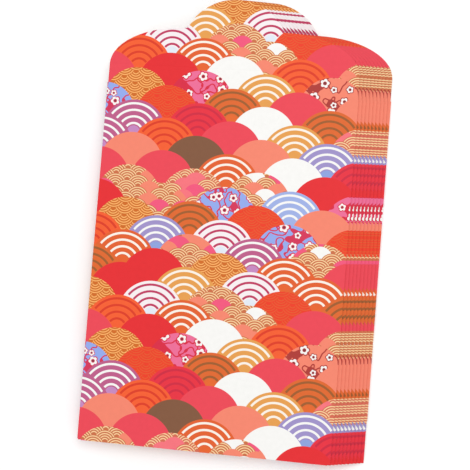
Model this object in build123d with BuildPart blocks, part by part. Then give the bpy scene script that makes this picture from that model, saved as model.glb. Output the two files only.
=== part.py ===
from build123d import *
import os
from math import sqrt

# A fanned set of red paper envelopes, lying flat with the printed faces up and the flaps open.
# Each envelope is one die-cut sheet. Its back panel folds over from the left, its side tab from
# the right and its bottom tab from below. Both tabs lie inside and are glued to the back panel.
# The flap hinges on the crease across the top of the front panel.
# X runs along the crease, Y towards the flap, and Z up from the surface that the set lies on.
# The origin is the middle of the set's footprint.

# The set
ENVELOPE_COUNT = 10
FAN_STEP_ACROSS = 1.12
FAN_STEP_ALONG = 0.09
PILE_GAP = 0.05  # air between one envelope and the next

# One envelope
ENVELOPE_WIDTH = 80.0
ENVELOPE_LENGTH = 120.0  # bottom fold to flap crease
PAPER = 0.15
POCKET_GAP = 0.05  # air between the front panel and the tabs inside
GLUE_FILM = 0.03
THROAT = 6.0  # how far the back panel's mouth edge lies below the crease
BACK_REVEAL = 0.6  # how far the back panel's cut edges lie inside the front panel

# The flap: two shoulders and a round lobe between them
FLAP_HEIGHT = 22.4
SHOULDER_HEIGHT = 12.6
LOBE_RADIUS = 17.3

# The glued tabs
SIDE_TAB_WIDTH = 10.0
BOTTOM_TAB_HEIGHT = 12.0
TAB_SLANT = 4.0  # how far a tab's ends slope in towards its free edge
TAB_CLEARANCE = 1.0  # between the two tabs, and from a tab's ends to the edges beside them
GLUE_MARGIN = 1.5  # bare paper round each strip of glue

# Layers of one envelope, as depths below the printed face
TAB_TOP = PAPER + POCKET_GAP
TAB_UNDERSIDE = TAB_TOP + PAPER
BACK_TOP = TAB_UNDERSIDE + GLUE_FILM
THICKNESS = BACK_TOP + PAPER
PILE_PITCH = THICKNESS + PILE_GAP

# A fold is a half round that reaches from the printed face to the far side of the layer it joins
SPINE_RADIUS = THICKNESS / 2
TAB_FOLD_RADIUS = TAB_UNDERSIDE / 2

# Edges of the flat front panel, measured from the middle of the bottom fold
PANEL_LEFT = SPINE_RADIUS - ENVELOPE_WIDTH / 2
PANEL_RIGHT = ENVELOPE_WIDTH / 2 - TAB_FOLD_RADIUS
PANEL_BOTTOM = TAB_FOLD_RADIUS
BACK_RIGHT = ENVELOPE_WIDTH / 2 - BACK_REVEAL
MOUTH = ENVELOPE_LENGTH - THROAT

# Tabs: the side tab runs from just above the bottom tab to just below the mouth
BOTTOM_TAB_EDGE = PANEL_BOTTOM + BOTTOM_TAB_HEIGHT
BOTTOM_TAB_LEFT = PANEL_LEFT + TAB_CLEARANCE
BOTTOM_TAB_RIGHT = PANEL_RIGHT - TAB_CLEARANCE
SIDE_TAB_EDGE = PANEL_RIGHT - SIDE_TAB_WIDTH
SIDE_TAB_START = BOTTOM_TAB_EDGE + TAB_CLEARANCE
SIDE_TAB_END = MOUTH - TAB_CLEARANCE

# Flap outline: the lobe's circle meets both shoulders at their full height
LOBE_CENTRE = FLAP_HEIGHT - LOBE_RADIUS
LOBE_HALF_CHORD = sqrt(LOBE_RADIUS**2 - (SHOULDER_HEIGHT - LOBE_CENTRE) ** 2)
LEFT_SHOULDER_RUN = -LOBE_HALF_CHORD - PANEL_LEFT
RIGHT_SHOULDER_RUN = PANEL_RIGHT - LOBE_HALF_CHORD

SET_LENGTH = ENVELOPE_LENGTH + FLAP_HEIGHT + FAN_STEP_ALONG * (ENVELOPE_COUNT - 1)


def seat_of(number):
    """Middle of the bottom fold on the printed face of an envelope, number 1 on top of the set."""
    below_top = number - 1
    from_middle = below_top - (ENVELOPE_COUNT - 1) / 2
    return Vector(
        FAN_STEP_ACROSS * from_middle,
        FAN_STEP_ALONG * below_top - SET_LENGTH / 2,
        PILE_PITCH * (ENVELOPE_COUNT - number) + THICKNESS,
    )


def underside(seat, depth):
    """Level plane at a depth below the printed face, with its origin under the seat."""
    return Plane(seat - Vector(0, 0, depth))


def fold_plane(seat, along_x, along_y, outward, run):
    """Upright plane across a fold, with local x pointing out of the envelope and local y down."""
    start = seat + Vector(along_x, along_y, 0)
    return Plane(start, x_dir=outward, z_dir=run)


def half_round(radius):
    """Cross-section of a fold, from the printed face down to the layer it joins."""
    with BuildLine() as section:
        ThreePointArc((0, 0), (radius, radius), (0, 2 * radius))
        Line((0, 2 * radius), (0, 0))
    make_face(section.edges())


def keep(piece, name, number):
    piece.label = f"{name}_{number:02d}"
    export_step(piece, f"parts/{piece.label}.step")


def keep_folded(leaf, fold, name, number):
    """A leaf and its fold meet face to face as two solids, so the pocket between layers stays open."""
    keep(Compound(children=[leaf, fold]), name, number)


def make_front_panel(seat, number):
    with BuildPart() as front_panel:
        with BuildSketch(underside(seat, PAPER)):
            Polygon(
                (PANEL_LEFT, PANEL_BOTTOM),
                (PANEL_RIGHT, PANEL_BOTTOM),
                (PANEL_RIGHT, ENVELOPE_LENGTH),
                (PANEL_LEFT, ENVELOPE_LENGTH),
                align=None,
            )
        extrude(amount=PAPER)
    keep(front_panel.part, "front_panel", number)


def make_back_panel(seat, number):
    with BuildPart() as back_leaf:
        with BuildSketch(underside(seat, THICKNESS)):
            Polygon(
                (PANEL_LEFT, BACK_REVEAL),
                (BACK_RIGHT, BACK_REVEAL),
                (BACK_RIGHT, MOUTH),
                (PANEL_LEFT, MOUTH),
                align=None,
            )
        extrude(amount=PAPER)
    with BuildPart() as spine_fold:
        with BuildSketch(fold_plane(seat, PANEL_LEFT, MOUTH, (-1, 0, 0), (0, -1, 0))):
            half_round(SPINE_RADIUS)
        extrude(amount=MOUTH - BACK_REVEAL)
    keep_folded(back_leaf.part, spine_fold.part, "back_panel", number)


def make_side_tab(seat, number):
    with BuildPart() as side_leaf:
        with BuildSketch(underside(seat, TAB_UNDERSIDE)):
            Polygon(
                (PANEL_RIGHT, SIDE_TAB_START),
                (PANEL_RIGHT, SIDE_TAB_END),
                (SIDE_TAB_EDGE, SIDE_TAB_END - TAB_SLANT),
                (SIDE_TAB_EDGE, SIDE_TAB_START + TAB_SLANT),
                align=None,
            )
        extrude(amount=PAPER)
    with BuildPart() as side_fold:
        with BuildSketch(fold_plane(seat, PANEL_RIGHT, SIDE_TAB_START, (1, 0, 0), (0, 1, 0))):
            half_round(TAB_FOLD_RADIUS)
        extrude(amount=SIDE_TAB_END - SIDE_TAB_START)
    keep_folded(side_leaf.part, side_fold.part, "side_tab", number)


def make_bottom_tab(seat, number):
    with BuildPart() as bottom_leaf:
        with BuildSketch(underside(seat, TAB_UNDERSIDE)):
            Polygon(
                (BOTTOM_TAB_LEFT, PANEL_BOTTOM),
                (BOTTOM_TAB_RIGHT, PANEL_BOTTOM),
                (BOTTOM_TAB_RIGHT - TAB_SLANT, BOTTOM_TAB_EDGE),
                (BOTTOM_TAB_LEFT + TAB_SLANT, BOTTOM_TAB_EDGE),
                align=None,
            )
        extrude(amount=PAPER)
    with BuildPart() as bottom_fold:
        with BuildSketch(fold_plane(seat, BOTTOM_TAB_LEFT, PANEL_BOTTOM, (0, -1, 0), (1, 0, 0))):
            half_round(TAB_FOLD_RADIUS)
        extrude(amount=BOTTOM_TAB_RIGHT - BOTTOM_TAB_LEFT)
    keep_folded(bottom_leaf.part, bottom_fold.part, "bottom_tab", number)


def make_seam_glue(seat, number):
    """Two dried strips of glue that hold the back panel's inner face to the tabs."""
    with BuildPart() as seam_glue:
        with BuildSketch(underside(seat, BACK_TOP)):
            side_start = SIDE_TAB_START + TAB_SLANT + GLUE_MARGIN
            side_end = SIDE_TAB_END - TAB_SLANT - GLUE_MARGIN
            Polygon(
                (SIDE_TAB_EDGE + GLUE_MARGIN, side_start),
                (BACK_RIGHT - GLUE_MARGIN, side_start),
                (BACK_RIGHT - GLUE_MARGIN, side_end),
                (SIDE_TAB_EDGE + GLUE_MARGIN, side_end),
                align=None,
            )
            bottom_left = BOTTOM_TAB_LEFT + TAB_SLANT + GLUE_MARGIN
            bottom_right = BOTTOM_TAB_RIGHT - TAB_SLANT - GLUE_MARGIN
            Polygon(
                (bottom_left, BACK_REVEAL + GLUE_MARGIN),
                (bottom_right, BACK_REVEAL + GLUE_MARGIN),
                (bottom_right, BOTTOM_TAB_EDGE - GLUE_MARGIN),
                (bottom_left, BOTTOM_TAB_EDGE - GLUE_MARGIN),
                align=None,
            )
        extrude(amount=GLUE_FILM)
    keep(seam_glue.part, "seam_glue", number)


def make_flap(seat, number):
    """Crease along local y = 0, a quarter ellipse up each shoulder and one arc over the lobe."""
    right_notch = (LOBE_HALF_CHORD, SHOULDER_HEIGHT)
    left_notch = (-LOBE_HALF_CHORD, SHOULDER_HEIGHT)
    with BuildPart() as flap:
        with BuildSketch(underside(seat + Vector(0, ENVELOPE_LENGTH, 0), PAPER)):
            with BuildLine():
                Line((PANEL_LEFT, 0), (PANEL_RIGHT, 0))
                EllipticalCenterArc((LOBE_HALF_CHORD, 0), RIGHT_SHOULDER_RUN, SHOULDER_HEIGHT, arc_size=90)
                ThreePointArc(right_notch, (0, FLAP_HEIGHT), left_notch)
                EllipticalCenterArc(
                    (-LOBE_HALF_CHORD, 0), LEFT_SHOULDER_RUN, SHOULDER_HEIGHT, start_angle=90, arc_size=90
                )
            make_face()
        extrude(amount=PAPER)
    keep(flap.part, "flap", number)


os.makedirs("parts", exist_ok=True)
for number in range(1, ENVELOPE_COUNT + 1):
    seat = seat_of(number)
    make_front_panel(seat, number)
    make_back_panel(seat, number)
    make_side_tab(seat, number)
    make_bottom_tab(seat, number)
    make_seam_glue(seat, number)
    make_flap(seat, number)
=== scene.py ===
# %% [markdown]
# # A fanned set of red envelopes
# Ten paper gift envelopes lie in a fan, printed faces up and flaps open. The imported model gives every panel, tab
# and flap its place and its joint. This lesson dresses that model: it folds ten printed sheets over it, prints
# them, and sets the light and the camera.

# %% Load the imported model
from math import pi, radians

import bpy
import numpy as np
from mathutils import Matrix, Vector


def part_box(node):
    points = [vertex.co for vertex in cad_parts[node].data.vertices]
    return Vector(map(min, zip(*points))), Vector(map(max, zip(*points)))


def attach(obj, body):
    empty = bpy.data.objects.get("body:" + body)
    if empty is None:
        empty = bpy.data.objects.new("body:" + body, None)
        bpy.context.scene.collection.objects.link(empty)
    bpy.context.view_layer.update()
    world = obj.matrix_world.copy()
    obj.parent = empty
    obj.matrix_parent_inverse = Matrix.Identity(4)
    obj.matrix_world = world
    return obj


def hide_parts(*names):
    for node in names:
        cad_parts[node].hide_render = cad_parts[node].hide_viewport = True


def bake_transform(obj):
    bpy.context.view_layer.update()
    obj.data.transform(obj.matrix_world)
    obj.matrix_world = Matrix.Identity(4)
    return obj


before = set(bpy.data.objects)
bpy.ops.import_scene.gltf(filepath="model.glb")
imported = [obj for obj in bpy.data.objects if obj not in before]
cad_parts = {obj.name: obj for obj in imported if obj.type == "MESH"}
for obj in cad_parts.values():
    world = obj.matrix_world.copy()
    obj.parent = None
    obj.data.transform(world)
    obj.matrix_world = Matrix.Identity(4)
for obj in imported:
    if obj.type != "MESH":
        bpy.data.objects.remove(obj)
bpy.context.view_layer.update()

scene = bpy.context.scene
NUMBERS = [f"{number:02d}" for number in range(1, 11)]

# %% [markdown]
# ## Measures
# The sheet has to lie exactly where the panels lie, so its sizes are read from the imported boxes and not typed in
# again. All lengths are millimetres until a mesh is made. An envelope's seat is the middle of its bottom fold, at
# the level of its printed face. Only the outline of the flap and the slope of the tabs can't be read from a box.

# %% Read the sizes of one envelope
MM = 0.001
LOBE_RADIUS = 17.3
SHOULDER_HEIGHT = 12.6
TAB_SLANT = 4.0


def box_mm(node):
    """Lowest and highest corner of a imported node, in millimetres."""
    return np.array([list(corner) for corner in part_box(node)]) / MM


def seat_of(number):
    """Half way between the spine and the side fold, on the bottom fold, level with the printed face."""
    far_left, far_right = box_mm(f"back_panel_{number}")[0, 0], box_mm(f"side_tab_{number}")[1, 0]
    lowest, level = box_mm(f"bottom_tab_{number}")[0, 1], box_mm(f"front_panel_{number}")[1, 2]
    return np.array([(far_left + far_right) / 2, lowest, level])


front, back, side, bottom, flap = (
    box_mm(f"{piece}_01") - seat_of("01") for piece in ("front_panel", "back_panel", "side_tab", "bottom_tab", "flap")
)
panel_left, panel_bottom = front[0, :2]
panel_right, crease = front[1, :2]
paper = front[1, 2] - front[0, 2]
spine_radius = -back[0, 2] / 2
tab_radius = -side[0, 2] / 2
half_width = side[1, 0]
print("front", np.round(front[1] - front[0], 3), "paper", round(paper, 3), "fold radii", spine_radius, tab_radius)

# %% [markdown]
# ## The flap's outline
# The flap is die-cut with two shoulders and a round lobe. It could be traced as a curve and filled, but then its
# mesh would not line up with the front panel's. As a height above the crease for each place across, it shares the
# panel's columns. Columns are spaced evenly by angle, so they crowd where the outline turns down.

# %% Columns across the front, and the flap's height over them
lobe_centre = flap[1, 1] - crease - LOBE_RADIUS
half_chord = np.sqrt(LOBE_RADIUS**2 - (SHOULDER_HEIGHT - lobe_centre) ** 2)
SQUARE_END = 0.2  # the die leaves a short square end, so no column is pinched to a point
SHOULDER_COLUMNS, LOBE_COLUMNS = 15, 25


def flap_height(x):
    """Cut edge above the crease: a circle over the lobe, and a quarter ellipse down each shoulder."""
    lobe = lobe_centre + np.sqrt(np.maximum(LOBE_RADIUS**2 - x**2, 0))
    run = np.where(x < 0, -half_chord - panel_left, panel_right - half_chord)
    share = np.clip((np.abs(x) - half_chord) / run, 0, 1)
    shoulder = SHOULDER_HEIGHT * np.sqrt(1 - share**2)
    return np.maximum(np.where(np.abs(x) < half_chord, lobe, shoulder), SQUARE_END)


shoulder_turn = np.sin(np.linspace(0, pi / 2, SHOULDER_COLUMNS))
lobe_turn = np.arcsin(half_chord / LOBE_RADIUS)
front_x = np.unique(np.round(np.concatenate([
    -half_chord + (panel_left + half_chord) * shoulder_turn,
    LOBE_RADIUS * np.sin(np.linspace(-lobe_turn, lobe_turn, LOBE_COLUMNS)),
    half_chord + (panel_right - half_chord) * shoulder_turn,
    bottom[:, 0],
]), 6))
print("columns across the front:", len(front_x), "flap height", round(float(flap_height(front_x).max()), 2))

# %% [markdown]
# ## The flat blank
# A real envelope starts as one flat sheet in the shape of a cross: the front in the middle, the back leaf on its
# left, a tab on its right, a tab below and the flap above. Here the blank is one grid of columns and rows. Cells
# outside the cross are left out, rows of the flap are squeezed under its outline, and the tabs taper.

# %% Rows and columns of the blank
FOLD_STEPS, BACK_STEPS, TAB_STEPS = 10, 18, 4
FRONT_ROWS, FLAP_ROWS = 28, 9
SCORE_ROWS = np.array([0.1, 0.2, 0.32, 0.5, 0.9])  # millimetres from the crease, close enough to bend smoothly


def turned_in(radius, leaf, steps):
    """A leaf behind the front: a half circle of the fold's radius, then a straight run back under the panel.
    Gives how far out of the fold line each point stands, how deep it lies, and the paper used to get there."""
    turn = np.linspace(0, pi, FOLD_STEPS + 1)[1:]
    run = np.linspace(0, leaf, steps + 1)[1:]
    out = np.concatenate([radius * np.sin(turn), -run])
    deep = np.concatenate([radius * (1 - np.cos(turn)), np.full(steps, 2 * radius)])
    return out, deep, np.concatenate([radius * turn, pi * radius + run])


left_out, left_deep, left_run = turned_in(spine_radius, back[1, 0] - panel_left, BACK_STEPS)
right_out, right_deep, right_run = turned_in(tab_radius, panel_right - side[0, 0], TAB_STEPS)
below_out, below_deep, below_run = turned_in(tab_radius, bottom[1, 1] - panel_bottom, TAB_STEPS)

front_y = np.unique(np.concatenate([
    np.linspace(panel_bottom, crease, FRONT_ROWS), back[:, 1], side[:, 1], crease - SCORE_ROWS,
]))
flap_share = np.concatenate([SCORE_ROWS / (flap[1, 1] - crease), np.linspace(0.1, 1, FLAP_ROWS)])

column_u = np.concatenate([(panel_left - left_run)[::-1], front_x, panel_right + right_run])
column_x = np.concatenate([(panel_left - left_out)[::-1], front_x, panel_right + right_out])
column_deep = np.concatenate([left_deep[::-1], np.zeros(len(front_x)), right_deep])
row_v = np.concatenate([(panel_bottom - below_run)[::-1], front_y, crease + flap_share])
row_y = np.concatenate([(panel_bottom - below_out)[::-1], front_y, crease + flap_share])
row_deep = np.concatenate([below_deep[::-1], np.zeros(len(front_y) + len(flap_share))])
print("grid of", len(column_u), "columns and", len(row_v), "rows")

# %% Cut the blank


def grid_cells(rows, columns):
    """The four corners of each cell of a grid, as point numbers that run row by row."""
    point = np.arange(rows * columns).reshape(rows, columns)
    return np.stack([point[:-1, :-1], point[:-1, 1:], point[1:, 1:], point[1:, :-1]], axis=-1)


flat_u, flat_v = np.meshgrid(column_u, row_v)
fold_run = pi * tab_radius  # the tabs taper over their flat leaf, past the paper that the fold takes
taper_right = np.clip((column_u - panel_right - fold_run) / (right_run[-1] - fold_run), 0, 1)
taper_below = np.clip((panel_bottom - row_v - fold_run) / (below_run[-1] - fold_run), 0, 1)
side_middle, side_half = side[:, 1].mean(), np.ptp(side[:, 1]) / 2
below_middle, below_half = bottom[:, 0].mean(), np.ptp(bottom[:, 0]) / 2
flat_v = np.where(
    flat_v > crease,
    crease + (flat_v - crease) * flap_height(flat_u),
    side_middle + (flat_v - side_middle) * (1 - taper_right * TAB_SLANT / side_half),
)
flat_u = below_middle + (flat_u - below_middle) * (1 - taper_below[:, None] * TAB_SLANT / below_half)

across, along = np.meshgrid((column_u[:-1] + column_u[1:]) / 2, (row_v[:-1] + row_v[1:]) / 2)
in_front = (across > panel_left) & (across < panel_right)
on_back = (across < panel_left) & (along > back[0, 1]) & (along < back[1, 1])
on_side = (across > panel_right) & (along > side[0, 1]) & (along < side[1, 1])
on_below = (along < panel_bottom) & (across > bottom[0, 0]) & (across < bottom[1, 0])
kept = (in_front & (along > panel_bottom)) | on_back | on_side | on_below

used, cells = np.unique(grid_cells(*flat_u.shape)[kept], return_inverse=True)
cells = cells.reshape(-1, 4)
print("blank of", len(cells), "cells and", len(used), "points")

# %% [markdown]
# ## Folding it
# Folding changes only where a point lies, never the paper around it. Front columns and rows stay flat; the leaf and
# the tabs follow their half circles. Two touches make it paper and not card: a fine score along the crease, and a
# slow rise and fall of less than half a millimetre. All ten sheets share that wave, so they nest and never cut
# into each other.

# %% Fold the blank
SCORE_DEPTH, SCORE_WIDTH = 0.04, 0.22
RISE = 0.3
WAVES = ((96, 150, 0.1), (-210, 88, 0.35))  # wavelengths across and along in millimetres, and the start in turns
is_front_column = (column_u >= panel_left) & (column_u <= panel_right)
is_front_row = row_v >= panel_bottom
groove = SCORE_DEPTH * np.exp(-(((flat_v - crease) / SCORE_WIDTH) ** 2)) * is_front_column
folded = np.stack([
    np.where(is_front_column, flat_u, column_x),
    np.where(is_front_row[:, None], flat_v, row_y[:, None]),
    -(column_deep + row_deep[:, None]) - groove,
], axis=-1).reshape(-1, 3)[used]
blank_mm = np.stack([flat_u + half_width, flat_v], axis=-1).reshape(-1, 2)[used]


def lie(points):
    """Paper at rest: two slow sine waves across the set, added up and lifted so that none dips below zero."""
    x, y = points[:, 0], points[:, 1]
    one, two = (np.sin(2 * pi * (x / across_x + y / along_y + start)) for across_x, along_y, start in WAVES)
    return points + np.outer(RISE * (2 + one + two) / 4, [0, 0, 1])


print("folded sheet spans", np.round(np.ptp(folded, axis=0), 3), "mm")

# %% [markdown]
# ## Mesh and thickness
# The grid is the printed outside of the sheet. Solidify adds the paper's thickness towards the inside, and gives
# the inside and the cut rim materials of their own. Weighted normals keep the wide flat cells flat beside the
# narrow folds.

# %% Mesh makers
BLANK_MAP = "blank_mm"


def new_piece(name, points, faces, flat=None):
    """Mesh object from points in millimetres and four-cornered faces; flat gives each point its place in the blank."""
    mesh = bpy.data.meshes.new(name)
    mesh.from_pydata((points * MM).tolist(), [], faces.tolist())
    if flat is not None:
        corners = np.zeros(len(mesh.loops), np.int32)
        mesh.loops.foreach_get("vertex_index", corners)
        mesh.uv_layers.new(name=BLANK_MAP).uv.foreach_set("vector", flat[corners].astype(np.float32).ravel())
    mesh.shade_smooth()
    piece = bpy.data.objects.new(name, mesh)
    scene.collection.objects.link(piece)
    return piece


def thicken(piece, thickness):
    """Adds thickness behind the outside face, then lets wide faces set the normals."""
    solid = piece.modifiers.new("paper", "SOLIDIFY")
    solid.thickness = thickness * MM
    solid.offset = -1
    solid.use_even_offset = True
    solid.material_offset = 1
    solid.material_offset_rim = 2
    piece.modifiers.new("flat faces", "WEIGHTED_NORMAL").weight = 100


# %% Ten folded sheets
BEND = 0.32  # the paper turns over this far on each side of the crease
sheets = []
for number in NUMBERS:
    seat = seat_of(number)
    sheet = new_piece(f"folded_sheet_{number}", lie(folded + seat), cells, blank_mm)
    thicken(sheet, paper)
    reach = np.array([0, BEND, 0]) * MM
    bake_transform(sheet)
    replaced = [f"{piece}_{number}" for piece in ("front_panel", "back_panel", "side_tab", "bottom_tab", "flap")]
    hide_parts(*replaced)
    sheets.append(sheet)
print(len(sheets), "sheets of", len(cells), "faces")

# %% [markdown]
# ## Dried glue
# Two strips of white glue hold the back leaf to the tabs. They hide between the layers and show only where a pocket
# is looked into. A strip is a thin rectangle whose edges wander a little, as glue from a roller does. Its film is so
# thin that it has to follow the paper's wave too.

# %% Two glue strips per envelope
GLUE_MARGIN, GLUE_WANDER = 1.5, 0.35
GLUE_POINTS = 25


def wander(run, slow, fast, start):
    """How far an edge moves in: two sines of the way along it, added up and lifted so that none is below zero."""
    return GLUE_WANDER * (2 + np.sin(run / slow) + np.sin(run / fast + start)) / 4


def glue_strip(low, high, depth):
    """Rectangle between two corners whose edges wander in."""
    p, q = np.meshgrid(np.linspace(0, 1, GLUE_POINTS), np.linspace(0, 1, GLUE_POINTS))
    length = high - low
    waver_x = wander(q * length[1], slow=1.7, fast=0.71, start=1)
    waver_y = wander(p * length[0], slow=1.9, fast=0.83, start=2)
    x = low[0] + waver_x + p * (length[0] - 2 * waver_x)
    y = low[1] + waver_y + q * (length[1] - 2 * waver_y)
    return np.stack([x, y, np.full(x.shape, depth)], axis=-1).reshape(-1, 3)


taper = TAB_SLANT + GLUE_MARGIN
tab_face = side[0, 2]
glue_film = tab_face - (back[0, 2] + paper)
strips = np.concatenate([
    glue_strip(
        np.array([side[0, 0] + GLUE_MARGIN, side[0, 1] + taper]),
        np.array([back[1, 0] - GLUE_MARGIN, side[1, 1] - taper]), tab_face,
    ),
    glue_strip(
        np.array([bottom[0, 0] + taper, back[0, 1] + GLUE_MARGIN]),
        np.array([bottom[1, 0] - taper, bottom[1, 1] - GLUE_MARGIN]), tab_face,
    ),
])
strip_cells = grid_cells(GLUE_POINTS, GLUE_POINTS).reshape(-1, 4)
strip_cells = np.concatenate([strip_cells, strip_cells + GLUE_POINTS**2])

glue_pieces = []
for number in NUMBERS:
    glue = new_piece(f"glue_strips_{number}", lie(strips + seat_of(number)), strip_cells)
    solid = glue.modifiers.new("film", "SOLIDIFY")
    solid.thickness = glue_film * MM
    solid.offset = -1
    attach(glue, f"envelope_{number}")
    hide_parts(f"seam_glue_{number}")
    glue_pieces.append(glue)
print(len(glue_pieces), "pairs of glue strips,", round(glue_film, 3), "mm thick")

# %% [markdown]
# ## Node helpers
# Colours are written as the sRGB hex values that a paint program shows, and turned to linear light once. One
# function adds any node: settings by name, then a value or a link for each input that the node shows, in order.

# %% Colour and node helpers


def linear(hex_colour):
    """sRGB to linear light: dark values are divided by 12.92, the rest follow a power of 2.4."""
    srgb = np.array([int(hex_colour[at:at + 2], 16) for at in (1, 3, 5)]) / 255
    light = np.where(srgb <= 0.04045, srgb / 12.92, ((srgb + 0.055) / 1.055) ** 2.4)
    return (*light.tolist(), 1.0)


def add(tree, kind, *inputs, **settings):
    """Adds a node. Each input is a socket to link, a value to set, or None to leave. Returns its first output."""
    node = tree.nodes.new(kind)
    for name, value in settings.items():
        setattr(node, name, value)
    for socket, value in zip([socket for socket in node.inputs if socket.enabled], inputs):
        if isinstance(value, bpy.types.NodeSocket):
            tree.links.new(value, socket)
        elif value is not None:
            socket.default_value = value
    return next(socket for socket in node.outputs if socket.enabled)


# %% [markdown]
# ## Wave scales
# The print is the old pattern of overlapping wave scales: discs in rows, each row half a disc along from the last,
# and lower rows in front. An image would need a file, and a mesh per scale would be thousands of pieces. Worked out
# in nodes, a point asks the lowest row that can reach it first, then the two rows above. Discs are as wide as their
# pitch and rows a quarter of it apart, so one of the three always covers the point. The group gives the point's
# offset from its disc's centre in radii, and the disc's own number.

# %% The wave scale group
ROWS_PER_PITCH = 4
wave_scales = bpy.data.node_groups.new("wave scales", "ShaderNodeTree")
wave_scales.interface.new_socket("Point", in_out="INPUT", socket_type="NodeSocketVector")
wave_scales.interface.new_socket("Pitch", in_out="INPUT", socket_type="NodeSocketFloat")
wave_scales.interface.new_socket("Offset", in_out="OUTPUT", socket_type="NodeSocketVector")
wave_scales.interface.new_socket("Disc", in_out="OUTPUT", socket_type="NodeSocketVector")
group_in = wave_scales.nodes.new("NodeGroupInput").outputs
group_out = wave_scales.nodes.new("NodeGroupOutput").inputs

per_pitch = add(wave_scales, "ShaderNodeMath", 1.0, group_in["Pitch"], operation="DIVIDE")
place = add(wave_scales, "ShaderNodeVectorMath", group_in["Point"], per_pitch, operation="SCALE")
parts = add(wave_scales, "ShaderNodeSeparateXYZ", place).node.outputs
lowest = add(wave_scales, "ShaderNodeMath", parts["Y"], ROWS_PER_PITCH, -ROWS_PER_PITCH / 2, operation="MULTIPLY_ADD")
lowest = add(wave_scales, "ShaderNodeMath", lowest, operation="CEIL")

offset, disc = None, None
for rows_up in (2, 1, 0):
    row = add(wave_scales, "ShaderNodeMath", lowest, float(rows_up), operation="ADD")
    odd = add(wave_scales, "ShaderNodeMath", row, 2.0, operation="FLOORED_MODULO")
    shift = add(wave_scales, "ShaderNodeMath", odd, 0.5, operation="MULTIPLY")
    middle = add(wave_scales, "ShaderNodeMath", parts["X"], shift, operation="SUBTRACT")
    middle = add(wave_scales, "ShaderNodeMath", middle, operation="ROUND")
    middle = add(wave_scales, "ShaderNodeMath", middle, shift, operation="ADD")
    level = add(wave_scales, "ShaderNodeMath", row, 1 / ROWS_PER_PITCH, operation="MULTIPLY")
    centre = add(wave_scales, "ShaderNodeCombineXYZ", middle, level, 0.0)
    away = add(wave_scales, "ShaderNodeVectorMath", place, centre, operation="SUBTRACT")
    away = add(wave_scales, "ShaderNodeVectorMath", away, (2, 2, 0), operation="MULTIPLY")
    number_of = add(wave_scales, "ShaderNodeCombineXYZ", middle, row, 0.0)
    if offset is None:
        offset, disc = away, number_of
        continue
    reach = add(wave_scales, "ShaderNodeVectorMath", away, operation="LENGTH")
    inside = add(wave_scales, "ShaderNodeMath", reach, 1.0, operation="LESS_THAN")
    offset = add(wave_scales, "ShaderNodeMix", inside, offset, away, data_type="VECTOR")
    disc = add(wave_scales, "ShaderNodeMix", inside, disc, number_of, data_type="VECTOR")
wave_scales.links.new(offset, group_out["Offset"])
wave_scales.links.new(disc, group_out["Disc"])
print("wave scale group of", len(wave_scales.nodes), "nodes")

# %% [markdown]
# ## What fills a scale
# Each scale draws a lot: plain ink, four arcs, small waves that stand or hang, blossoms or dots. The table gives how
# often a fill comes up, its ground, its line, its second colour, and its motif. The inks are a little deeper than they
# look in the picture, because the studio is bright. A motif is kept as a colour: red for arcs, green for waves, blue
# for blossoms and alpha for dots, so that one ramp can hand out all of them. The lot is white noise on the disc's
# number, so the layout is this script's own and the same on every run.

# %% The fills
CORAL, WHITE, PINK, MAROON = "#ED826A", "#EFEEEB", "#EA5479", "#742D35"
FILLS = [
    (8, CORAL, CORAL, CORAL, "plain"),
    (5, "#DE292E", "#DE292E", "#DE292E", "plain"),
    (5, "#E44452", "#E44452", "#E44452", "plain"),
    (6, WHITE, WHITE, WHITE, "plain"),
    (2, "#7E543B", "#7E543B", "#7E543B", "plain"),
    (10, "#DB5D29", "#F2EADF", "#DF6029", "arcs"),
    (5, "#D8642A", "#99592A", "#DF6529", "arcs"),
    (3, "#ED5B2C", "#D63A20", "#ED5B2C", "arcs"),
    (2.5, "#9A8DC2", WHITE, "#889CD5", "arcs"),
    (1, "#A37FBC", "#C42E50", "#889CD5", "arcs"),
    (3, "#EFE6E8", "#BA375D", "#DBE2EC", "arcs"),
    (2.5, "#B85A85", WHITE, "#BF84BA", "arcs"),
    (2, "#9AABDD", WHITE, "#9AABDD", "arcs"),
    (2, "#DF9A4C", "#F2EADF", "#DF9A4C", "arcs"),
    (1.5, "#E02E3E", "#C8263E", "#E02E3E", "arcs"),
    (9, CORAL, "#F1CD9A", "#C66C44", "waves"),
    (2, "#EE7079", "#F1CD9A", "#CE6850", "waves"),
    (2.5, "#CB6822", "#F0B066", "#CB6822", "hanging waves"),
    (4, "#E53B20", "#DF5529", "#E53B20", "hanging waves"),
    (1.5, "#E4765D", "#7D5B37", "#7D5B37", "dots"),
    (1.5, "#E56A93", WHITE, "#D22741", "blossoms"),
    (2, WHITE, WHITE, "#CD3065", "blossoms"),
    (2, "#8FA5E4", WHITE, "#CD3255", "blossoms"),
    (2, CORAL, WHITE, "#A93731", "blossoms"),
]
MOTIFS = {
    "plain": (0, 0, 0, 0), "arcs": (1, 0, 0, 0), "waves": (0, 1, 0, 0), "hanging waves": (0, 0.5, 0, 0),
    "blossoms": (0, 0, 1, 0), "dots": (0, 0, 0, 1),
}
shares = np.array([fill[0] for fill in FILLS])
starts = (np.cumsum(shares) - shares) / shares.sum()
print(len(FILLS), "fills")

# %% [markdown]
# ## The print
# The ink lies on a coated sheet of about 130 grams: satin, smooth, with colours that stay a little uneven. The
# material reads the blank's own map in millimetres, so the pattern runs on round every fold as on the real sheet.
#
# A printing plate repeats: after sixteen rows the same scales come again. So each disc's row is counted from 0 to 15
# and then from 0 again, and every point looks up its filling at the place where the disc's first copy lies.

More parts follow.
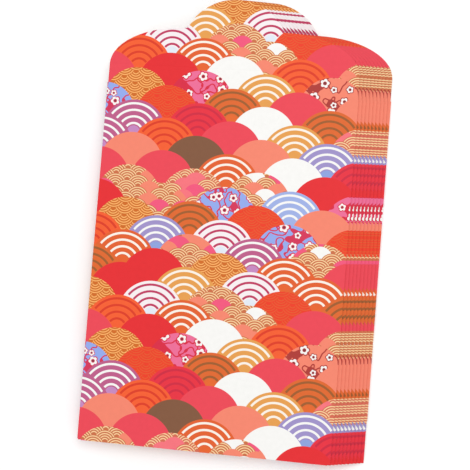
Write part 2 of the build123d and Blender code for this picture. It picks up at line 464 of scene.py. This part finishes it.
# %% Printed paper: draw a lot for each scale
SCALE_PITCH = 20.74
PATTERN_START = (-20.14, 0, 0)
REPEAT_ROWS = 16
FAR = 1000  # discs; wider than any sheet, so that the print repeats only down it
LOT_SEED = (0.5, 0.5, 104520.5)  # any seed gives a layout; this one keeps most plain scales of one colour apart

printed = bpy.data.materials.new("offset-printed coated paper")
printed.use_nodes = True
ink = printed.node_tree
blank = add(ink, "ShaderNodeUVMap", uv_map=BLANK_MAP)
started = add(ink, "ShaderNodeMapping", blank, PATTERN_START)
scale = add(ink, "ShaderNodeGroup", started, SCALE_PITCH, node_tree=wave_scales).node.outputs
first = add(ink, "ShaderNodeVectorMath", scale["Disc"], (FAR, REPEAT_ROWS, 1), (-FAR, 0, 0), operation="WRAP")
away = add(ink, "ShaderNodeVectorMath", scale["Disc"], first, operation="SUBTRACT")
away = add(ink, "ShaderNodeVectorMath", away, (0, SCALE_PITCH / ROWS_PER_PITCH, 0), operation="MULTIPLY")
home = add(ink, "ShaderNodeVectorMath", started, away, operation="SUBTRACT")
seeded = add(ink, "ShaderNodeVectorMath", first, LOT_SEED, operation="ADD")
lot = add(ink, "ShaderNodeTexWhiteNoise", seeded)

drawn = []
for part in (1, 2, 3, 4):
    ramp = add(ink, "ShaderNodeValToRGB", lot).node
    ramp.color_ramp.interpolation = "CONSTANT"
    stops = ramp.color_ramp.elements
    stops.remove(stops[1])
    for start, fill in zip(starts, FILLS):
        stop = stops[0] if start == 0 else stops.new(start)
        stop.color = MOTIFS[fill[part]] if part == 4 else linear(fill[part])
    drawn.append(ramp.outputs)
ground, line, second = (outputs["Color"] for outputs in drawn[:3])
motif = add(ink, "ShaderNodeSeparateColor", drawn[3]["Color"]).node.outputs
has_dots = drawn[3]["Alpha"]
print("lots drawn through", len(stops), "stops")

# %% [markdown]
# Four arcs stand at even steps of the disc's radius, with square ends just short of the neighbouring scales. A
# triangle wave of the radius gives the distance to the nearest arc, and the angle from upright cuts the ends.

# %% Arcs
ARC_OUTER, ARC_STEP, ARC_WIDTH = 0.884, 0.203, 0.068  # in radii of the disc
ARC_END = float(np.cos(radians(54)))
ring = add(ink, "ShaderNodeVectorMath", scale["Offset"], operation="LENGTH")
from_outer = add(ink, "ShaderNodeMath", ring, ARC_OUTER, operation="SUBTRACT")
to_arc = add(ink, "ShaderNodeMath", from_outer, ARC_STEP / 2, operation="PINGPONG")
arcs = add(ink, "ShaderNodeMath", to_arc, ARC_WIDTH / 2, operation="LESS_THAN")
beyond_core = add(ink, "ShaderNodeMath", ring, ARC_STEP, operation="GREATER_THAN")
arcs = add(ink, "ShaderNodeMath", arcs, beyond_core, operation="MULTIPLY")
local = add(ink, "ShaderNodeSeparateXYZ", scale["Offset"]).node.outputs
upright = add(ink, "ShaderNodeMath", local["Y"], ring, operation="DIVIDE")
short_of_end = add(ink, "ShaderNodeMath", upright, ARC_END, operation="GREATER_THAN")
arcs = add(ink, "ShaderNodeMath", arcs, short_of_end, operation="MULTIPLY")
core = add(ink, "ShaderNodeMath", ring, ARC_STEP, operation="LESS_THAN")
arc_colour = add(ink, "ShaderNodeMix", core, ground, second, data_type="RGBA")
arc_colour = add(ink, "ShaderNodeMix", arcs, arc_colour, line, data_type="RGBA")
colour = add(ink, "ShaderNodeMix", motif["Red"], ground, arc_colour, data_type="RGBA")
print("arcs", round(ARC_WIDTH * SCALE_PITCH / 2, 2), "mm wide")

# %% [markdown]
# Small waves use the same group again at about a third of the pitch, with the same four strokes. Standing waves are a
# patchwork: each small disc draws a lot of its own, and some are left plain, pink or white. Hanging waves are turned
# upside down by a minus sign on the height, and all their discs have strokes.

# %% Small waves
SMALL_PITCH, SMALL_WIDTH = 7.4, 0.09
PLAIN_FROM, PINK_FROM, WHITE_FROM = 0.72, 0.86, 0.96
WAVES_FROM, STANDING_FROM = 0.25, 0.75  # the green of MOTIFS is 0 for no waves, 0.5 for hanging and 1 for standing ones
has_waves = add(ink, "ShaderNodeMath", motif["Green"], WAVES_FROM, operation="GREATER_THAN")
standing = add(ink, "ShaderNodeMath", motif["Green"], STANDING_FROM, operation="GREATER_THAN")
way_up = add(ink, "ShaderNodeMath", standing, 2.0, -1.0, operation="MULTIPLY_ADD")
way_up = add(ink, "ShaderNodeCombineXYZ", 1.0, way_up, 1.0)
small_at = add(ink, "ShaderNodeVectorMath", home, way_up, operation="MULTIPLY")
small = add(ink, "ShaderNodeGroup", small_at, SMALL_PITCH, node_tree=wave_scales).node.outputs
small_seeded = add(ink, "ShaderNodeVectorMath", small["Disc"], LOT_SEED, operation="ADD")
small_lot = add(ink, "ShaderNodeTexWhiteNoise", small_seeded)
small_lot = add(ink, "ShaderNodeMath", small_lot, standing, operation="MULTIPLY")
stroked = add(ink, "ShaderNodeMath", small_lot, PLAIN_FROM, operation="LESS_THAN")
pink = add(ink, "ShaderNodeMath", small_lot, PINK_FROM, operation="GREATER_THAN")
white = add(ink, "ShaderNodeMath", small_lot, WHITE_FROM, operation="GREATER_THAN")
patch = add(ink, "ShaderNodeMix", pink, ground, linear(PINK), data_type="RGBA")
patch = add(ink, "ShaderNodeMix", white, patch, linear(WHITE), data_type="RGBA")
patch = add(ink, "ShaderNodeMix", stroked, patch, second, data_type="RGBA")

small_ring = add(ink, "ShaderNodeVectorMath", small["Offset"], operation="LENGTH")
from_rim = add(ink, "ShaderNodeMath", small_ring, ARC_OUTER, operation="SUBTRACT")
to_stroke = add(ink, "ShaderNodeMath", from_rim, ARC_STEP / 2, operation="PINGPONG")
strokes = add(ink, "ShaderNodeMath", to_stroke, SMALL_WIDTH / 2, operation="LESS_THAN")
beyond_small_core = add(ink, "ShaderNodeMath", small_ring, ARC_STEP, operation="GREATER_THAN")
strokes = add(ink, "ShaderNodeMath", strokes, beyond_small_core, operation="MULTIPLY")
strokes = add(ink, "ShaderNodeMath", strokes, stroked, operation="MULTIPLY")
wave_colour = add(ink, "ShaderNodeMix", strokes, patch, line, data_type="RGBA")
colour = add(ink, "ShaderNodeMix", has_waves, colour, wave_colour, data_type="RGBA")
print("strokes", round(SMALL_WIDTH * SMALL_PITCH / 2, 2), "mm wide")

# %% [markdown]
# Blossoms stand on scattered points, each of its own size and turn. Five petals are the edge of a disc that swells and
# shrinks with the cosine of two and a half times the angle. They have a rim and an eye in the branches' ink, and a dark
# spot in the middle. Branches are the level lines of a smooth noise, drawn under the flowers. Divided by the noise's
# own slope, the height above such a line becomes a distance, so the branches are equally thick everywhere. Here and
# there, where a slower noise is high, one side of a branch is filled with its ink.

# %% Blossoms and branches
BLOSSOM_APART, BLOSSOM_STRAY, BLOSSOM_LEAST, BLOSSOM_MORE = 4.6, 0.75, 1.2, 1.0
PETALS = 5
PETAL_NOTCH, PETAL_SWELL, PETAL_RIM, EYE, SPOT = 0.74, 0.24, 0.2, 0.33, 0.19  # in radii of the blossom
BRANCH_BEND, BRANCH_WIDTH, BRANCH_LEVEL, NUDGE = 4.2, 0.42, 0.5, 0.1
BLOTCH_APART, BLOTCH_FROM = 5.5, 0.54
scatter = add(
    ink, "ShaderNodeTexVoronoi", home, 1 / BLOSSOM_APART, 0.0, None, None, BLOSSOM_STRAY, voronoi_dimensions="2D"
).node.outputs
own = add(ink, "ShaderNodeSeparateColor", scatter["Color"]).node.outputs
from_flower = add(ink, "ShaderNodeVectorMath", home, scatter["Position"], operation="SUBTRACT")
flower = add(ink, "ShaderNodeSeparateXYZ", from_flower).node.outputs
petal_ring = add(ink, "ShaderNodeVectorMath", from_flower, operation="LENGTH")
blossom = add(ink, "ShaderNodeMath", own["Green"], BLOSSOM_MORE, BLOSSOM_LEAST, operation="MULTIPLY_ADD")
petal_ring = add(ink, "ShaderNodeMath", petal_ring, blossom, operation="DIVIDE")
turn = add(ink, "ShaderNodeMath", flower["Y"], flower["X"], operation="ARCTAN2")
turn = add(ink, "ShaderNodeMath", turn, PETALS / 2, operation="MULTIPLY")
turn = add(ink, "ShaderNodeMath", own["Red"], pi, turn, operation="MULTIPLY_ADD")
swell = add(ink, "ShaderNodeMath", turn, operation="COSINE")
swell = add(ink, "ShaderNodeMath", swell, operation="ABSOLUTE")
petal_edge = add(ink, "ShaderNodeMath", swell, PETAL_SWELL, PETAL_NOTCH, operation="MULTIPLY_ADD")
in_outline = add(ink, "ShaderNodeMath", petal_ring, petal_edge, operation="LESS_THAN")
petal_inner = add(ink, "ShaderNodeMath", petal_edge, PETAL_RIM, operation="SUBTRACT")
in_petal = add(ink, "ShaderNodeMath", petal_ring, petal_inner, operation="LESS_THAN")
in_eye = add(ink, "ShaderNodeMath", petal_ring, EYE, operation="LESS_THAN")
in_spot = add(ink, "ShaderNodeMath", petal_ring, SPOT, operation="LESS_THAN")
heights = []
for nudge in ((0, 0, 0), (NUDGE, 0, 0), (0, NUDGE, 0)):
    spot = add(ink, "ShaderNodeVectorMath", home, nudge, operation="ADD")
    heights.append(add(ink, "ShaderNodeTexNoise", spot, 1 / BRANCH_BEND, 1.0, noise_dimensions="2D"))
slopes = [add(ink, "ShaderNodeMath", height, heights[0], operation="SUBTRACT") for height in heights[1:]]
slope = add(ink, "ShaderNodeCombineXYZ", *slopes)
slope = add(ink, "ShaderNodeVectorMath", slope, operation="LENGTH")
above = add(ink, "ShaderNodeMath", heights[0], BRANCH_LEVEL, operation="SUBTRACT")
above = add(ink, "ShaderNodeMath", above, operation="ABSOLUTE")
to_level = add(ink, "ShaderNodeMath", above, slope, operation="DIVIDE")
branch = add(ink, "ShaderNodeMath", to_level, BRANCH_WIDTH / 2 / NUDGE, operation="LESS_THAN")
one_side = add(ink, "ShaderNodeMath", heights[0], BRANCH_LEVEL, operation="GREATER_THAN")
slow = add(ink, "ShaderNodeTexNoise", home, 1 / BLOTCH_APART, 0.0, noise_dimensions="2D")
blotch = add(ink, "ShaderNodeMath", slow, BLOTCH_FROM, operation="GREATER_THAN")
blotch = add(ink, "ShaderNodeMath", blotch, one_side, operation="MULTIPLY")
branch = add(ink, "ShaderNodeMath", branch, blotch, operation="MAXIMUM")
under = add(ink, "ShaderNodeMath", branch, in_outline, operation="MAXIMUM")
garden = add(ink, "ShaderNodeMix", under, ground, second, data_type="RGBA")
garden = add(ink, "ShaderNodeMix", in_petal, garden, line, data_type="RGBA")
garden = add(ink, "ShaderNodeMix", in_eye, garden, second, data_type="RGBA")
garden = add(ink, "ShaderNodeMix", in_spot, garden, linear(MAROON), data_type="RGBA")
colour = add(ink, "ShaderNodeMix", motif["Blue"], colour, garden, data_type="RGBA")
print("blossoms", 2 * BLOSSOM_LEAST, "to", 2 * (BLOSSOM_LEAST + BLOSSOM_MORE), "mm across")

# %% [markdown]
# Dots stand in staggered rows. Each point finds its row, shifts odd rows by half a step, and measures how far it is
# from the middle of its own little oblong.

# %% Dots
DOT_APART, DOT_ROWS, DOT_RADIUS = 2.6, 2.22, 0.9
dot_at = add(ink, "ShaderNodeVectorMath", home, (DOT_APART, DOT_ROWS, 1), operation="DIVIDE")
dot_parts = add(ink, "ShaderNodeSeparateXYZ", dot_at).node.outputs
dot_row = add(ink, "ShaderNodeMath", dot_parts["Y"], operation="FLOOR")
dot_odd = add(ink, "ShaderNodeMath", dot_row, 2.0, operation="FLOORED_MODULO")
dot_x = add(ink, "ShaderNodeMath", dot_odd, 0.5, dot_parts["X"], operation="MULTIPLY_ADD")
dot_at = add(ink, "ShaderNodeCombineXYZ", dot_x, dot_parts["Y"], 0.5)
dot_at = add(ink, "ShaderNodeVectorMath", dot_at, operation="FRACTION")
dot_at = add(ink, "ShaderNodeVectorMath", dot_at, (0.5, 0.5, 0.5), operation="SUBTRACT")
dot_at = add(ink, "ShaderNodeVectorMath", dot_at, (DOT_APART, DOT_ROWS, 1), operation="MULTIPLY")
dots = add(ink, "ShaderNodeVectorMath", dot_at, operation="LENGTH")
dots = add(ink, "ShaderNodeMath", dots, DOT_RADIUS, operation="LESS_THAN")
dots = add(ink, "ShaderNodeMath", dots, has_dots, operation="MULTIPLY")
colour = add(ink, "ShaderNodeMix", dots, colour, line, data_type="RGBA")
print("dots", 2 * DOT_RADIUS, "mm across")

# %% [markdown]
# Ink on paper is never quite even, and the coat lets a little of the sheet's grain through. A soft mottle darkens
# and lightens the ink by about two hundredths, and a fine noise moves the satin and the relief.

# %% The finished sheet
MOTTLE = 1.6
FIBRE = 0.35  # real fibres are a tenth of this; they are drawn this coarse to show
NOISE_RANGE = (0.3, 0.7)  # nearly all of a noise's values lie between these
INK_RANGE, SATIN_RANGE = (0.98, 1.015), (0.42, 0.56)
RELIEF, RELIEF_DEPTH = 0.12, 0.02
mottle = add(ink, "ShaderNodeTexNoise", blank, 1 / MOTTLE, 3.0)
mottle = add(ink, "ShaderNodeMapRange", mottle, *NOISE_RANGE, *INK_RANGE)
colour = add(ink, "ShaderNodeVectorMath", colour, mottle, operation="SCALE")
fibre = add(ink, "ShaderNodeTexNoise", blank, 1 / FIBRE, 4.0)
satin = add(ink, "ShaderNodeMapRange", fibre, *NOISE_RANGE, *SATIN_RANGE)
relief = add(ink, "ShaderNodeBump", RELIEF, RELIEF_DEPTH * MM, None, fibre)
coat = ink.nodes["Principled BSDF"]
ink.links.new(colour, coat.inputs["Base Color"])
ink.links.new(satin, coat.inputs["Roughness"])
ink.links.new(relief, coat.inputs["Normal"])
coat.inputs["IOR"].default_value = 1.5
coat.inputs["Specular IOR Level"].default_value = 0.2
print("printed paper of", len(ink.nodes), "nodes")

# %% [markdown]
# ## Bare paper, cut edge and glue
# The inside of the sheet is uncoated, so it is duller and more fibrous. The cut edge shows the white core with a
# trace of ink. Dried white glue is a clear, slightly milky film.

# %% Inside, edge and glue
FIBRE_RANGE = (0.35, 0.65)
BARE_RELIEF, BARE_DEPTH = 0.2, 0.03
FINISHES = {  # light fibres, dark fibres, grain in millimetres, roughness, IOR
    "uncoated paper inside": ("#F6F0E6", "#E9E0D2", 0.6, 0.88, 1.5),
    "die-cut paper edge": ("#F7E9DF", "#E7C3B6", 0.3, 0.9, 1.5),
    "dried white glue film": ("#F1ECD9", "#E4DCC0", 2.5, 0.35, 1.47),
}
finishes = []
for name, (light, dark, grain, roughness, ior) in FINISHES.items():
    finish = bpy.data.materials.new(name)
    finish.use_nodes = True
    nodes = finish.node_tree
    spot = add(nodes, "ShaderNodeTexCoord").node.outputs["Object"]
    fibres = add(nodes, "ShaderNodeTexNoise", spot, 1 / (grain * MM), 4.0)
    tint = add(nodes, "ShaderNodeMapRange", fibres, *FIBRE_RANGE)
    tint = add(nodes, "ShaderNodeMix", tint, linear(dark), linear(light), data_type="RGBA")
    relief = add(nodes, "ShaderNodeBump", BARE_RELIEF, BARE_DEPTH * MM, None, fibres)
    surface = nodes.nodes["Principled BSDF"]
    nodes.links.new(tint, surface.inputs["Base Color"])
    nodes.links.new(relief, surface.inputs["Normal"])
    surface.inputs["Roughness"].default_value = roughness
    surface.inputs["IOR"].default_value = ior
    finishes.append(finish)
inside, edge, glue_film_finish = finishes

for sheet in sheets:
    for material in (printed, inside, edge):
        sheet.data.materials.append(material)
for glue in glue_pieces:
    glue.data.materials.append(glue_film_finish)
print("finishes:", [material.name for material in bpy.data.materials if material.users])

# %% [markdown]
# ## Floor and light
# The set lies on plain white. A wide soft lamp beyond the flaps and to the right makes the top a little brighter than
# the bottom, and a bright, even surround keeps the shadows pale. The standard view shows colours as they were mixed.

# %% Studio
FLOOR_HALF = 3.0
FLOOR_GAP = 0.05  # millimetres below the lowest sheet, so that the two never share a face
corners = np.array([[-1, -1], [1, -1], [1, 1], [-1, 1]]) * FLOOR_HALF / MM
floor_points = np.column_stack([corners, np.full(4, -FLOOR_GAP)])
floor = new_piece("floor", floor_points, np.array([[0, 1, 2, 3]]))
card = bpy.data.materials.new("matte white card")
card.use_nodes = True
card.node_tree.nodes["Principled BSDF"].inputs["Base Color"].default_value = linear("#FFFFFF")
card.node_tree.nodes["Principled BSDF"].inputs["Roughness"].default_value = 0.9
floor.data.materials.append(card)

lamp = bpy.data.lights.new("softbox", "AREA")
lamp.shape = "DISK"
lamp.size = 0.7
lamp.energy = 2.9
softbox = bpy.data.objects.new("softbox", lamp)
softbox.location = (0.2, 0.36, 0.95)
aim = -np.array(softbox.location)
tip, swing = np.arctan2(np.hypot(aim[0], aim[1]), -aim[2]), np.arctan2(-aim[0], aim[1])
softbox.rotation_euler = (float(tip), 0, float(swing))
scene.collection.objects.link(softbox)

surround = bpy.data.worlds.new("surround")
surround.use_nodes = True
surround.node_tree.nodes["Background"].inputs["Color"].default_value = (1, 1, 1, 1)
surround.node_tree.nodes["Background"].inputs["Strength"].default_value = 0.88
scene.world = surround
scene.view_settings.view_transform = "Standard"
print("softbox at", tuple(round(value, 2) for value in softbox.location))

# %% [markdown]
# ## Camera
# The picture is taken from almost straight above, a little right of the set and turned a few degrees, with a lens of
# moderate length. Place and turn were solved from the corners of the top envelope and of the lowest one together.

# %% Camera
lens = bpy.data.cameras.new("camera")
lens.sensor_width = 36
lens.lens = 76.596
lens.clip_start = 0.01
camera = bpy.data.objects.new("camera", lens)
camera.location = (0.039968, -0.014958, 0.315369)
camera.rotation_euler = (radians(2.7082), radians(7.1832), radians(4.62))
scene.collection.objects.link(camera)
scene.camera = camera
print("camera", [round(value, 4) for value in camera.location])
